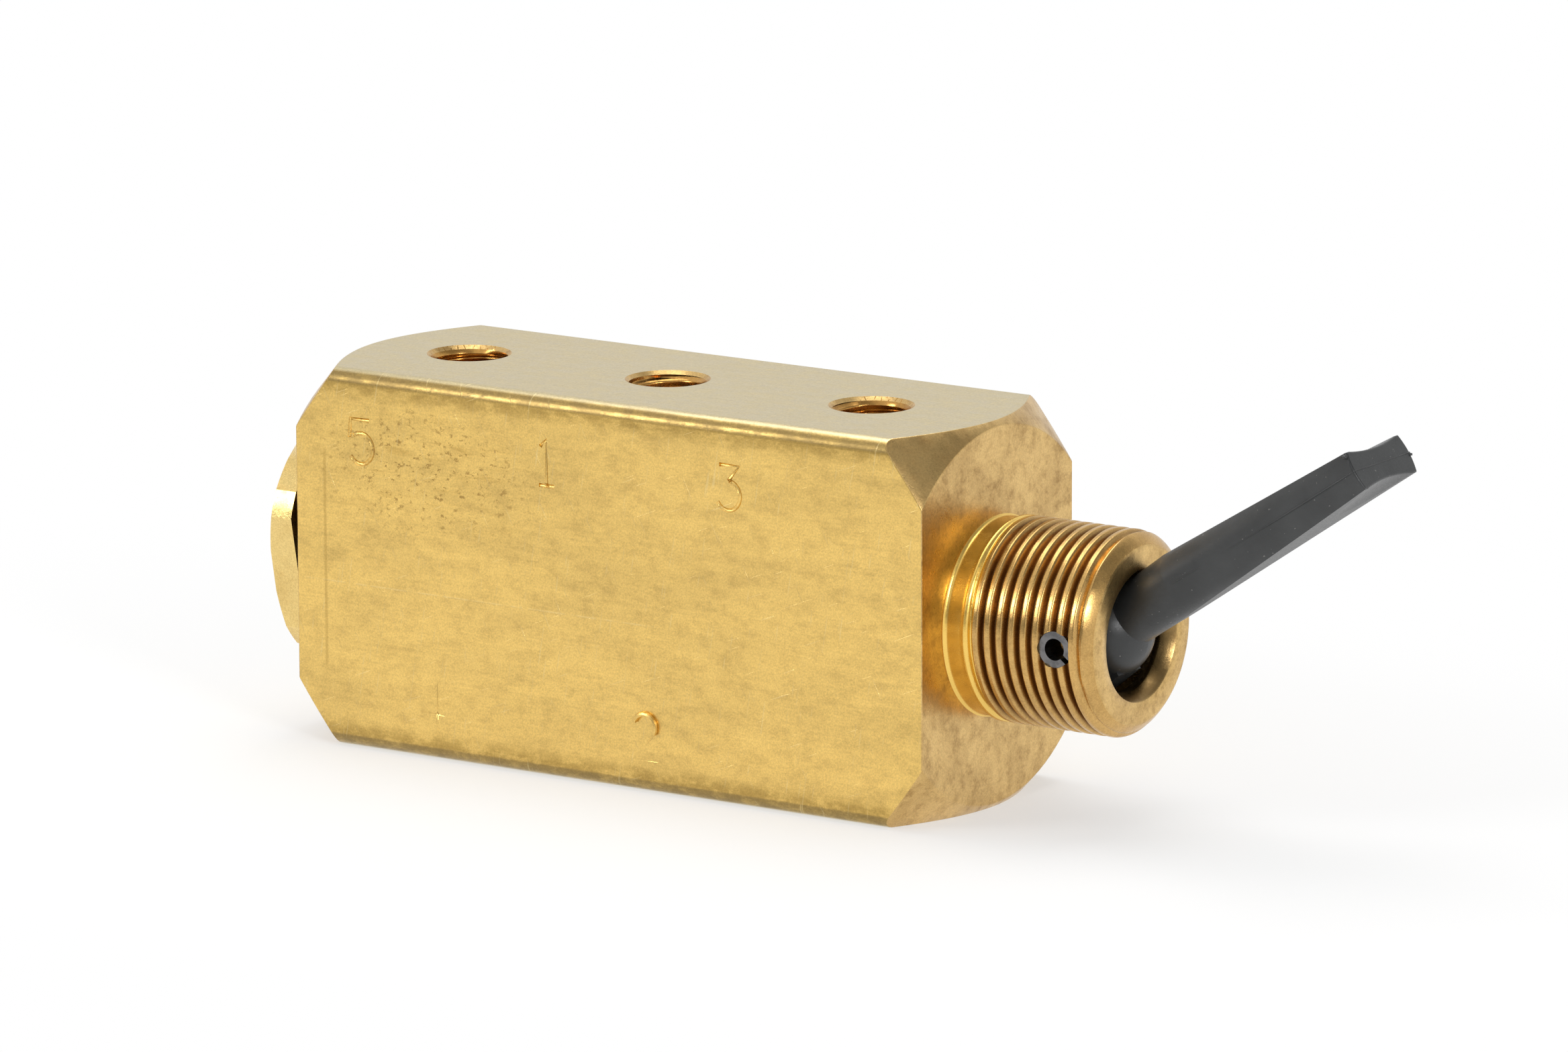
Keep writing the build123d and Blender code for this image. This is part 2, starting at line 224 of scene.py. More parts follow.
@dataclass(frozen=True)
class Brass:
    """A satin brass, with its tool marks, tarnish and wear, and with painted shade and highlights in some of its
    colours.
    """

    name: str
    colour: Colour
    tarnish: Colour
    grain: Grain
    roughness: float = 0.3
    marks: float = 0.005
    lines: float = 0.05
    sand: float = 0.12
    tarnish_share: float = 0.5
    patch_size: float = 1.0
    groove_shade_radius: tuple[float, float] | None = None
    mouth_radius: float = 0.0
    highlight_height: float = 0.0
    marks_and_painted_light: bool = False

    def tool_marks(self, shade: Shade) -> bpy.types.NodeSocket:
        """Read the pattern that the tool left, along the bar or round its axis."""
        if self.grain is Grain.TURNED_ABOUT_X:
            x, _, _ = shade.axes()
            rings = shade.node("ShaderNodeCombineXYZ", {0: shade.maths("ADD", shade.from_axis(), x)}).outputs[0]
            return shade.noise((6.0, 0.0, 0.0), detail=4.0, roughness=0.7, where=rings)
        if self.grain is Grain.DRAWN_ALONG_X:
            return shade.noise((0.22, 5.0, 5.0), detail=5.0, roughness=0.72)
        return shade.noise((2.0, 2.0, 2.0), detail=3.0)

    def make(self) -> bpy.types.Material:
        """Build the material.

        Returns:
            The material.
        """
        shade = Shade(self.name)
        marks = self.tool_marks(shade)
        size = 1.0 / self.patch_size
        clouds = shade.noise((0.13 * size, 0.42 * size, 0.42 * size), detail=5.0, roughness=0.62, shift=(3.1, 7.7, 1.9))
        mottle = shade.noise((0.8 * size, 1.3 * size, 1.3 * size), detail=6.0, roughness=0.74, shift=(9.0, 2.0, 5.0))
        sand = shade.noise((9.0, 9.0, 9.0), detail=2.0, roughness=0.7, shift=(0.3, 0.6, 0.9))
        patch = shade.maths("ADD", shade.between(clouds, 0.38, 0.66, 0.0, 0.55), shade.between(mottle, 0.44, 0.70, 0.0, 0.75))
        patch = shade.maths("MULTIPLY", patch, self.tarnish_share)
        colour = shade.blend(patch, self.colour, self.tarnish)
        if self.marks_and_painted_light:
            colour = self.paint_light_and_stains(shade, colour, mottle)
        tone = shade.maths("ADD", shade.between(marks, 0.25, 0.75, 1.0 - self.lines, 1.0 + self.lines),
                           shade.between(sand, 0.25, 0.75, -self.sand, self.sand))
        grey = shade.node("ShaderNodeCombineColor", {0: tone, 1: tone, 2: tone}).outputs[0]
        colour = shade.blend(1.0, colour, grey, "MULTIPLY")
        if self.groove_shade_radius is not None:
            low, high = self.groove_shade_radius
            x, _, _ = shade.axes()
            # Painted shade: over the threaded stretch, the grooves are darkened the deeper they lie.
            cut = shade.maths("MULTIPLY", shade.between(x, 1.55, 2.0), shade.between(x, 8.45, 8.70, 1.0, 0.0))
            depth = shade.maths("MULTIPLY", cut, shade.between(shade.from_axis(), low, high, 0.88, 0.0))
            colour = shade.blend(depth, colour, (0.150, 0.068, 0.022))
            # Painted reflection: the neck and first turns are made brighter and more orange, standing in for warm light
            # thrown from the end face.
            neck = shade.between(x, 1.85, 2.10, 0.85, 0.0)
            colour = shade.blend(neck, colour, (0.98, 0.66, 0.16))
        if self.mouth_radius > 0.0:
            x, _, _ = shade.axes()
            # Painted shade: the bore's lip and mouth are darkened inside.
            inside = shade.maths("MULTIPLY", shade.between(x, 7.5, 8.0), shade.between(shade.from_axis(), self.mouth_radius - 0.12, self.mouth_radius, 1.0, 0.0))
            colour = shade.blend(shade.maths("MULTIPLY", inside, 0.75), colour, (0.20, 0.125, 0.050))
        if self.highlight_height > 0.0:
            _, _, z = shade.axes()
            # Painted highlight: the plug is paled towards white above this height, where it reflects a lamp.
            painted_highlight = shade.between(z, self.highlight_height - 0.8, self.highlight_height + 0.8, 0.0, 0.75)
            colour = shade.blend(painted_highlight, colour, (0.96, 0.90, 0.76))
        bump = shade.relief(marks, self.marks)
        bump = shade.relief(sand, self.marks * 0.8, bump)
        bump = shade.relief(mottle, self.marks * 3.0, bump)
        if self.marks_and_painted_light:
            bump, colour = self.score(shade, bump, colour)
        shade.connect("Base Color", colour)
        shade.connect("Metallic", 1.0)
        shade.connect("Roughness", shade.between(mottle, 0.3, 0.75, self.roughness - 0.05, self.roughness + 0.10))
        shade.connect("Normal", bump)
        return shade.material

    def paint_light_and_stains(self, shade: Shade, colour: bpy.types.NodeSocket, mottle: bpy.types.NodeSocket) -> bpy.types.NodeSocket:
        """Add painted shade near the bar's upper and lower edges and the brown specks, and paint a paler, greyer
        reflection on the faces with the ports and the tops of the rounded edges.

        Args:
            shade: The material being made.
            colour: The colour so far.
            mottle: The uneven pattern that breaks the painted shade up.

        Returns:
            The colour.
        """
        _, _, z = shade.axes()
        height = shade.maths("ABSOLUTE", z)
        # Painted shade: a mottled dark band on the sides just below the upper and lower rounded edges.
        edge_shade_band = shade.maths("MULTIPLY", shade.between(height, 9.3, 10.35), shade.between(height, 10.55, 10.95, 1.0, 0.0))
        edge_shade_band = shade.maths("MULTIPLY", edge_shade_band, shade.between(mottle, 0.34, 0.56, 0.30, 0.95))
        colour = shade.blend(shade.maths("MULTIPLY", edge_shade_band, 0.62), colour, (0.33, 0.205, 0.050))
        # Painted shade on the lower part of the rounded edges, mottled.
        edge = shade.maths("MULTIPLY", shade.between(height, 10.40, 10.55), shade.between(mottle, 0.34, 0.60, 0.65, 0.97))
        colour = shade.blend(edge, colour, (0.31, 0.215, 0.080))
        colour = self.stain(shade, colour)
        # Painted reflection: the tops of the rounded edges and the faces with the ports are paler and greyer.
        return shade.blend(shade.between(height, 10.98, 11.14), colour, (0.60, 0.50, 0.285))

    def stain(self, shade: Shade, colour: bpy.types.NodeSocket) -> bpy.types.NodeSocket:
        """Add the brown specks and smears near the stamped face's rear upper corner.

        Args:
            shade: The material being made.
            colour: The colour so far.

        Returns:
            The stained colour.
        """
        middle = (-34.0, -7.9, 5.8)
        spread = (0.11, 0.11, 0.21)
        away = shade.vector("MULTIPLY", shade.vector("SUBTRACT", shade.mm, middle), spread)
        reach = shade.node("ShaderNodeVectorMath", {0: away}, operation="LENGTH").outputs["Value"]
        region = shade.between(reach, 0.35, 1.15, 1.0, 0.0)
        specks = shade.between(shade.noise((2.3, 2.3, 3.2), detail=3.0, roughness=0.75, shift=(4.0, 1.0, 8.0)), 0.56, 0.66)
        smears = shade.between(shade.noise((0.28, 1.0, 1.5), detail=4.0, roughness=0.7, shift=(1.5, 0.0, 2.5)), 0.5, 0.72)
        spots = shade.maths("MULTIPLY", region, shade.maths("MULTIPLY", specks, 0.6))
        smudges = shade.maths("MULTIPLY", region, shade.maths("MULTIPLY", smears, 0.35))
        colour = shade.blend(smudges, colour, (0.42, 0.24, 0.05))
        return shade.blend(spots, colour, (0.20, 0.095, 0.025))

    def score(self, shade: Shade, bump: bpy.types.NodeSocket, colour: bpy.types.NodeSocket) -> tuple[bpy.types.NodeSocket, bpy.types.NodeSocket]:
        """Add fine scratches in three directions and the two long scribed lines of the stamped face.

        Args:
            shade: The material being made.
            bump: The bump so far.
            colour: The colour so far.

        Returns:
            The bump and the colour.
        """
        x, _, z = shade.axes()
        for turn, seed in ((22.0, 2.0), (-64.0, 6.0), (81.0, 9.5)):
            turned = shade.node("ShaderNodeVectorRotate", {"Vector": shade.mm, "Angle": math.radians(turn)}, rotation_type="Y_AXIS").outputs[0]
            fine = shade.noise((0.35, 0.0, 9.0), detail=1.0, shift=(seed, seed, seed), where=turned)
            scratch = shade.between(fine, 0.70, 0.76)
            colour = shade.blend(shade.maths("MULTIPLY", scratch, 0.30), colour, (0.92, 0.74, 0.36))
            bump = shade.relief(scratch, 0.008, bump)
        off_line = shade.maths("ABSOLUTE", shade.maths("ADD", z, 1.40))
        broken = shade.between(shade.noise((0.9, 0.0, 0.0), detail=2.0), 0.40, 0.55)
        span = shade.maths("MULTIPLY", shade.between(x, -43.0, -42.0), shade.between(x, -19.5, -17.5, 1.0, 0.0))
        long_line = shade.maths("MULTIPLY", shade.between(off_line, 0.02, 0.07, 1.0, 0.0), shade.maths("MULTIPLY", span, broken))
        off_scribe = shade.maths("ABSOLUTE", shade.maths("ADD", x, 41.17))
        scribe = shade.maths("MULTIPLY", shade.between(off_scribe, 0.05, 0.14, 1.0, 0.0), shade.between(z, -7.0, -6.0))
        scribe = shade.maths("MULTIPLY", scribe, shade.between(z, 5.8, 6.8, 1.0, 0.0))
        colour = shade.blend(shade.maths("MULTIPLY", long_line, 0.22), colour, (0.95, 0.78, 0.40))
        colour = shade.blend(shade.maths("MULTIPLY", scribe, 0.35), colour, (0.40, 0.24, 0.06))
        return shade.relief(shade.maths("SUBTRACT", 1.0, long_line), 0.008, bump), colour


@dataclass(frozen=True)
class Plastic:
    """A dark moulded plastic with a fine grain, dust and rubbed spots."""

    name: str
    colour: Colour
    roughness: float
    gloss: float = 0.5
    dust: float = 0.25

    def make(self) -> bpy.types.Material:
        """Build the material.

        Returns:
            The material.
        """
        shade = Shade(self.name)
        grain = shade.noise((9.0, 9.0, 9.0), detail=3.0, roughness=0.7)
        clouds = shade.noise((0.4, 0.4, 0.4), detail=3.0)
        paler = tuple(min(1.0, part * 1.35 + 0.004) for part in self.colour)
        colour = shade.blend(shade.between(clouds, 0.3, 0.7), self.colour, paler)
        specks = shade.between(shade.noise((4.5, 4.5, 4.5), detail=1.0, shift=(2.0, 5.0, 1.0)), 0.745, 0.77, 0.0, self.dust)
        colour = shade.blend(specks, colour, (0.45, 0.43, 0.40))
        shade.connect("Base Color", colour)
        shade.connect("Specular IOR Level", self.gloss)
        shade.connect("Roughness", shade.between(grain, 0.3, 0.7, self.roughness - 0.04, self.roughness + 0.08))
        shade.connect("Normal", shade.relief(grain, 0.004))
        return shade.material


@dataclass(frozen=True)
class Steel:
    """A plain grey or bright metal with fine marks."""

    name: str
    colour: Colour
    roughness: float
    soot: Colour = (0.05, 0.05, 0.055)
    soot_share: float = 0.5

    def make(self) -> bpy.types.Material:
        """Build the material.

        Returns:
            The material.
        """
        shade = Shade(self.name)
        marks = shade.noise((6.0, 1.2, 6.0), detail=4.0, roughness=0.7)
        patches = shade.between(shade.noise((1.6, 1.6, 1.6), detail=3.0), 0.4, 0.65, 0.0, self.soot_share)
        shade.connect("Base Color", shade.blend(patches, self.colour, self.soot))
        shade.connect("Metallic", 1.0)
        shade.connect("Roughness", shade.between(marks, 0.3, 0.7, self.roughness - 0.06, self.roughness + 0.1))
        shade.connect("Normal", shade.relief(marks, 0.01))
        return shade.material


def dress(target: bpy.types.Object, *finishes: bpy.types.Material) -> None:
    """Put finishes in a piece's material slots, in order.

    Args:
        target: The piece.
        finishes: The materials, the first for material index 0.
    """
    faces = getattr(target.data, "polygons", [])
    indices = [face.material_index for face in faces]
    target.data.materials.clear()
    for finish in finishes:
        target.data.materials.append(finish)
    for face, index in zip(faces, indices):
        face.material_index = min(index, len(finishes) - 1)


def new_piece(name: str, mesh: bpy.types.Mesh) -> bpy.types.Object:
    """Put a mesh in the scene as a piece.

    Args:
        name: The piece's name.
        mesh: Its mesh.

    Returns:
        The piece.
    """
    piece = bpy.data.objects.new(name, mesh)
    bpy.context.scene.collection.objects.link(piece)
    return piece


def add_grid(mesh: bmesh.types.BMesh, rows: Sequence[float], angles: Sequence[float],
             spot: Callable[[float, float], Vector], slot: int, keep: Callable[[Vector], bool] | None = None,
             flip: bool = False, snap: Callable[[Vector], Vector] | None = None) -> None:
    """Add a surface that goes round an axis, one ring of points for each row.

    Args:
        mesh: The mesh to add to.
        rows: The value that stands for each ring.
        angles: The angles of the points round a ring.
        spot: Gives the point for a row and an angle.
        slot: The faces' material index.
        keep: Says whether a point is outside the cut-out.
        flip: Turns the faces over.
        snap: Moves a point inside the cut-out to its edge.
    """
    rings = [[mesh.verts.new(spot(row, angle)) for angle in angles] for row in rows]
    inside = [[keep is not None and not keep(vertex.co) for vertex in ring] for ring in rings]
    turns = len(angles)
    for row, (near, far) in enumerate(zip(rings, rings[1:])):
        for step in range(turns):
            after = (step + 1) % turns
            held = (inside[row][step], inside[row][after], inside[row + 1][after], inside[row + 1][step])
            if all(held):
                continue
            corners = [near[step], near[after], far[after], far[step]]
            for corner, caught in zip(corners, held):
                if caught and snap is not None:
                    corner.co = snap(corner.co)
            face = mesh.faces.new(corners[::-1] if flip else corners)
            face.material_index = slot
            face.smooth = True
    bmesh.ops.delete(mesh, geom=[vertex for vertex in mesh.verts if not vertex.link_faces], context="VERTS")


@dataclass
class Thread:
    """A screw thread as a wave of its surface's radius along and round its axis."""

    pitch: float
    depth: float
    outward: bool = False
    flat: float = 0.05
    start: float = 0.0

    def sink(self, along: float, angle: float) -> float:
        """How far the surface is from the crest.

        Args:
            along: The distance along the axis.
            angle: The angle round it.

        Returns:
            The depth, in the unit of the thread's sizes.
        """
        wave = (along - self.start) / self.pitch - angle / (2.0 * math.pi)
        away = abs((wave + 0.5) % 1.0 - 0.5) * self.pitch
        deep = min(max((away - self.flat) * math.sqrt(3.0), 0.0), self.depth)
        return deep


def steps(low: float, high: float, size: float) -> list[float]:
    """Evenly spaced values from low to high, no further apart than size."""
    count = max(1, math.ceil(abs(high - low) / size))
    return [low + (high - low) * number / count for number in range(count + 1)]


def full_turn(count: int) -> list[float]:
    """Evenly spaced angles round a full turn."""
    return [2.0 * math.pi * step / count for step in range(count)]


def ramp(value: float, low: float, high: float) -> float:
    """A smooth step from 0 at low to 1 at high."""
    share = min(max((value - low) / (high - low), 0.0), 1.0)
    return share * share * (3.0 - 2.0 * share)


@dataclass
class ValveBody:
    """The brass bar with its cut threads and stamped port numbers, in millimetres."""

    body_length: float = 43.2
    half_width: float = 7.9375
    half_height: float = 11.2
    neck_radius: float = 5.64
    neck_end: float = 1.25
    crest_radius: float = 5.9
    crest_start: float = 1.36
    boss_length: float = 9.58
    tip_start: float = 8.62
    tip_radius: float = 5.06
    mouth_radius: float = 3.80
    lip_radius: float = 3.38
    lip_front: float = 8.77
    lip_rear: float = 8.17
    chamber_radius: float = 4.0
    chamber_rear: float = -2.575
    pin_x: float = 7.33
    pin_gap_radius: float = 1.04
    pin_wall_end: float = 4.6
    fine_angle: float = 14.0
    port_wall: float = 2.06
    port_mouth: float = 2.48
    port_depth: float = 5.4
    top_ports: tuple[float, ...] = (-36.43, -22.46, -8.49)
    bottom_ports: tuple[float, ...] = (-29.445, -15.475)
    edge_break: float = 0.07
    stroke_radius: float = 0.15
    boss_thread: Thread = field(default_factory=lambda: Thread(0.79375, 0.44, flat=0.14, start=2.54))
    port_thread: Thread = field(default_factory=lambda: Thread(0.79375, 0.33))

    def build(self, finishes: Sequence[bpy.types.Material]) -> bpy.types.Object:
        """Build the whole piece and let it stand for the plain solid.

        Args:
            finishes: The bar's, the turned ends' and the threads' materials.

        Returns:
            The piece.
        """
        bar = self.bar(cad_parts["valve_body"].data)
        body = new_piece("body_with_threads", bar)
        dress(body, *finishes)
        self.stamp(body)
        body.data.set_sharp_from_angle(angle=math.radians(28.0))
        for face in body.data.polygons:
            if max(abs(part) for part in face.normal) > 0.9998:
                face.use_smooth = False
        threads = new_piece("threads", self.threads())
        dress(threads, *finishes)
        bpy.ops.object.select_all(action="DESELECT")
        threads.select_set(True)
        body.select_set(True)
        bpy.context.view_layer.objects.active = body
        bpy.ops.object.join()
        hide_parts("valve_body")
        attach(body, "body")
        return body

    def bar(self, source: bpy.types.Mesh) -> bpy.types.Mesh:
        """Copy the plain solid without its boss and port walls, and break its edges.

        Args:
            source: The plain solid's mesh.

        Returns:
            The new mesh.
        """
        work = bmesh.new()
        work.from_mesh(source)
        bmesh.ops.remove_doubles(work, verts=work.verts, dist=0.002 * MM)
        gone = [face for face in work.faces if self.is_recut(face)]
        bmesh.ops.delete(work, geom=gone, context="FACES")
        bmesh.ops.dissolve_limit(work, angle_limit=math.radians(0.6), verts=work.verts, edges=work.edges)
        outer = [edge for edge in work.edges if self.is_outer_edge(edge)]
        bmesh.ops.bevel(
            work, geom=outer, offset=self.edge_break * MM, segments=2, affect="EDGES", profile=0.5, clamp_overlap=True,
        )
        bmesh.ops.triangulate(work, faces=[face for face in work.faces if len(face.verts) > 4])
        for face in work.faces:
            face.smooth = True
            face.material_index = self.finish_of(face)
        mesh = bpy.data.meshes.new("body_with_threads")
        work.to_mesh(mesh)
        work.free()
        return mesh

    def is_recut(self, face: bmesh.types.BMFace) -> bool:
        """Say whether a face of the plain solid is made again with threads."""
        middle = face.calc_center_median() / MM
        spread = math.hypot(middle.y, middle.z)
        if middle.x > 0.01 and spread > self.lip_radius - 0.3:
            return True
        if self.chamber_rear < middle.x <= 0.01 and 3.5 < spread < self.chamber_radius + 0.2 and abs(face.normal.x) < 0.5:
            return True
        for side, places in ((1.0, self.top_ports), (-1.0, self.bottom_ports)):
            height = side * middle.z
            wall = self.half_height - self.port_depth + 0.01 < height < self.half_height - 0.2
            for place in places:
                away = math.hypot(middle.x - place, middle.y)
                if wall and away < self.port_mouth + 0.2 and abs(face.normal.z) < 0.9:
                    return True
        return False

    def is_outer_edge(self, edge: bmesh.types.BMEdge) -> bool:
        """Say whether an edge is an outside edge of the bar that is broken."""
        if len(edge.link_faces) != 2 or edge.calc_face_angle(0.0) < math.radians(20.0):
            return False
        spots = [vertex.co / MM for vertex in edge.verts]
        return all(math.hypot(spot.y, spot.z) > 8.2 for spot in spots) and all(
            math.hypot(spot.x - place, spot.y) > 3.0 for spot in spots for place in (*self.top_ports, *self.bottom_ports)
        )

    def finish_of(self, face: bmesh.types.BMFace) -> int:
        """The material index of a face: 0 on the bar's sides, 1 on its turned ends and bores."""
        middle = face.calc_center_median() / MM
        on_side = abs(middle.y) > self.half_width - 0.05 or abs(middle.z) > self.half_height - 0.05
        on_edge = abs(middle.y) > self.half_width - 0.85 and abs(middle.z) > self.half_height - 0.85
        turned = abs(face.normal.x) > 0.3
        return 0 if (on_side or on_edge) and not turned else 1

    def threads(self) -> bpy.types.Mesh:
        """Build the boss's outside, its mouth and the walls of the ports.

        Returns:
            The mesh.
        """
        work = bmesh.new()
        rows = [0.0, 0.04, 0.10, 0.2, *steps(0.3, self.neck_end, 0.3), *steps(self.neck_end + 0.03, self.boss_length - 0.05, 0.048)]
        fine = math.radians(self.fine_angle)
        angles = [
            *steps(-math.pi / 2.0 - fine, -math.pi / 2.0 + fine, 0.0085)[:-1], *steps(-math.pi / 2.0 + fine, math.pi / 2.0 - fine, 0.035)[:-1],
            *steps(math.pi / 2.0 - fine, math.pi / 2.0 + fine, 0.0085)[:-1], *steps(math.pi / 2.0 + fine, 1.5 * math.pi - fine, 0.035)[:-1],
        ]
        add_grid(work, rows, [angle + math.pi / 2.0 for angle in angles], self.boss_spot, 2, keep=self.clear_of_pin, snap=self.pin_edge)
        for side in (-1.0, 1.0):
            add_grid(work, (0.0, 1.0), full_turn(72), lambda share, angle, s=side: self.pin_wall(s, share, angle), 1, flip=side > 0)
        ring = [
            (self.boss_length - 0.05, self.boss_envelope(self.boss_length - 0.05)), (self.boss_length - 0.01, self.tip_radius - 0.03),
            (self.boss_length, self.tip_radius - 0.10), (self.boss_length, 4.4), (self.boss_length, self.mouth_radius + 0.04),
            (self.boss_length - 0.03, self.mouth_radius - 0.005), (self.lip_front, self.lip_radius + 0.01),
            (self.lip_front - 0.04, self.lip_radius), (self.lip_rear, self.lip_radius), (self.lip_rear, self.chamber_radius),
            (self.chamber_rear, self.chamber_radius),
        ]
        for near, far in zip(ring, ring[1:]):
            add_grid(work, (0.0, 1.0), full_turn(144), lambda share, angle, a=near, b=far: self.round_spot(a, b, share, angle), 1)
        for number, (side, place) in enumerate([(1.0, x) for x in self.top_ports] + [(-1.0, x) for x in self.bottom_ports]):
            rows = [0.0, self.port_mouth - self.port_wall, *steps(0.45, self.port_depth, 0.075)]
            lead = 0.79375 * (0.40, 0.93, 0.15, 0.6, 0.2)[number]
            add_grid(work, rows, full_turn(72), lambda deep, angle, s=side, p=place, g=lead: self.port_spot(s, p, g, deep, angle), 3, flip=side > 0)
        bmesh.ops.remove_doubles(work, verts=work.verts, dist=0.001 * MM)
        mesh = bpy.data.meshes.new("threads")
        work.to_mesh(mesh)
        work.free()
        return mesh

    def boss_envelope(self, along: float) -> float:
        """Radius of the boss before its thread is cut, at a distance along the axis."""
        if along <= self.neck_end:
            return self.neck_radius + 0.16 * max(0.0, 1.0 - along / 0.2) ** 2
        if along < self.crest_start:
            return self.neck_radius + (self.crest_radius - self.neck_radius) * ramp(along, self.neck_end, self.crest_start)
        if along < self.tip_start:
            return self.crest_radius
        share = ((along - self.tip_start) / (self.boss_length - self.tip_start)) ** 1.7
        return self.crest_radius + (self.tip_radius - self.crest_radius) * share

    def boss_surface(self, along: float, angle: float) -> float:
        """Radius of the threaded boss at a place."""
        radius = self.boss_envelope(along)
        sink = self.boss_thread.sink(along, angle) * ramp(along, 1.35, 2.0)
        return min(radius, self.crest_radius - sink) if along > self.neck_end else radius

    def boss_spot(self, along: float, angle: float) -> Vector:
        """Point of the boss's outside, in metres."""
        radius = self.boss_surface(along, angle)
        return Vector((along, radius * math.cos(angle), radius * math.sin(angle))) * MM

    def pin_edge(self, spot: Vector) -> Vector:
        """Point on the edge of the cross hole next to a point inside it, in metres."""
        away = Vector((spot.x / MM - self.pin_x, spot.z / MM))
        turn = math.atan2(away.y, away.x)
        return self.pin_wall(math.copysign(1.0, spot.y), 0.0, turn)

    def pin_wall(self, side: float, share: float, turn: float) -> Vector:
        """Point of the cross hole's wall, from its edge at share 0 inwards, in metres."""
        along = self.pin_x + self.pin_gap_radius * math.cos(turn)
        height = self.pin_gap_radius * math.sin(turn)
        radius = self.boss_surface(along, math.atan2(height, side * math.sqrt(self.crest_radius**2 - height**2)))
        edge = math.sqrt(radius**2 - height**2)
        return Vector((along, side * (edge + (self.pin_wall_end - edge) * share), height)) * MM

    def round_spot(self, near: Point2, far: Point2, share: float, angle: float) -> Vector:
        """Point between two rings of a turned surface, in metres."""
        along = near[0] + (far[0] - near[0]) * share
        radius = near[1] + (far[1] - near[1]) * share
        return Vector((along, radius * math.cos(angle), radius * math.sin(angle))) * MM

    def port_spot(self, side: float, place: float, lead: float, deep: float, angle: float) -> Vector:
        """Point of a port's wall, in metres."""
        countersink = self.port_mouth - min(deep, self.port_mouth - self.port_wall)
        thread = self.port_wall + self.port_thread.depth - self.port_thread.sink(deep + lead, angle)
        radius = max(countersink, thread) if deep > 0.0 else countersink
        return Vector((place + radius * math.cos(angle), radius * math.sin(angle), side * (self.half_height - deep))) * MM

    def clear_of_pin(self, spot: Vector) -> bool:
        """Say whether a point of the boss is outside the cross hole."""
        return math.hypot(spot.x / MM - self.pin_x, spot.z / MM) > self.pin_gap_radius

    def stamp(self, body: bpy.types.Object) -> None:
        """Press the port numbers into the stamped face.

        Args:
            body: The piece.
        """
        for name, (x, z, depth) in PORT_NUMBERS.items():
            curve = bpy.data.curves.new("stamp_" + name, "CURVE")
            curve.dimensions = "3D"
            curve.bevel_depth = self.stroke_radius * MM
            curve.bevel_resolution = 2
            curve.use_fill_caps = True
            lift = -self.half_width - self.stroke_radius + depth
            for stroke in DIGIT_STROKES[name]:
                line = curve.splines.new("POLY")
                line.points.add(len(stroke) - 1)
                for point, (across, up) in zip(line.points, stroke):
                    point.co = ((x + across) * MM, lift * MM, (z + up) * MM, 1.0)
            maker = new_piece("stamp_" + name, curve)
            cutter = new_piece("punch_" + name, bpy.data.meshes.new_from_object(maker.evaluated_get(bpy.context.evaluated_depsgraph_get())))
            cut = body.modifiers.new("stamp_" + name, "BOOLEAN")
            cut.object = cutter
            cut.operation = "DIFFERENCE"
            cut.solver = "EXACT"
            cut.use_self = True
            bpy.context.view_layer.objects.active = body
            bpy.ops.object.modifier_apply(modifier=cut.name)
            bpy.data.objects.remove(maker)
            bpy.data.objects.remove(cutter)


def bend(middle: Point2, radius: Point2, first: float, last: float, count: int = 14) -> list[Point2]:
    """Points along an oval arc.

    Args:
        middle: The oval's centre.
        radius: Its half width and half height.
        first: The first angle in degrees.
        last: The last angle in degrees.
        count: The number of points.

    Returns:
        The points.
    """
    angles = [math.radians(first + (last - first) * step / (count - 1)) for step in range(count)]
    return [(middle[0] + radius[0] * math.cos(a), middle[1] + radius[1] * math.sin(a)) for a in angles]


DIGIT_STROKES: dict[str, list[list[Point2]]] = {
    "5": [[(0.62, 1.32), (-0.72, 1.32), (-0.78, 0.22)], bend((0.02, -0.38), (0.86, 0.92), 128.0, -148.0)],
    "1": [[(-0.42, 0.92), (0.0, 1.34), (0.0, -1.34)], [(-0.52, -1.34), (0.52, -1.34)]],
    "3": [[(-0.66, 1.32), (0.66, 1.32), (-0.05, 0.42)], bend((-0.06, -0.42), (0.82, 0.86), 86.0, -150.0)],
    "4": [[(0.34, -1.34), (0.34, 1.34), (-0.84, -0.42), (0.84, -0.42)]],
    "2": [bend((0.0, 0.60), (0.74, 0.74), 160.0, -28.0), [(0.66, 0.26), (-0.78, -1.34), (0.84, -1.34)]],
}

PORT_NUMBERS: dict[str, tuple[float, float, float]] = {
    "5": (-38.56, 7.06, 0.085), "1": (-25.49, 7.31, 0.075), "3": (-12.93, 7.27, 0.080),
    "4": (-33.66, -8.0, 0.035), "2": (-18.75, -7.9, 0.035),
}


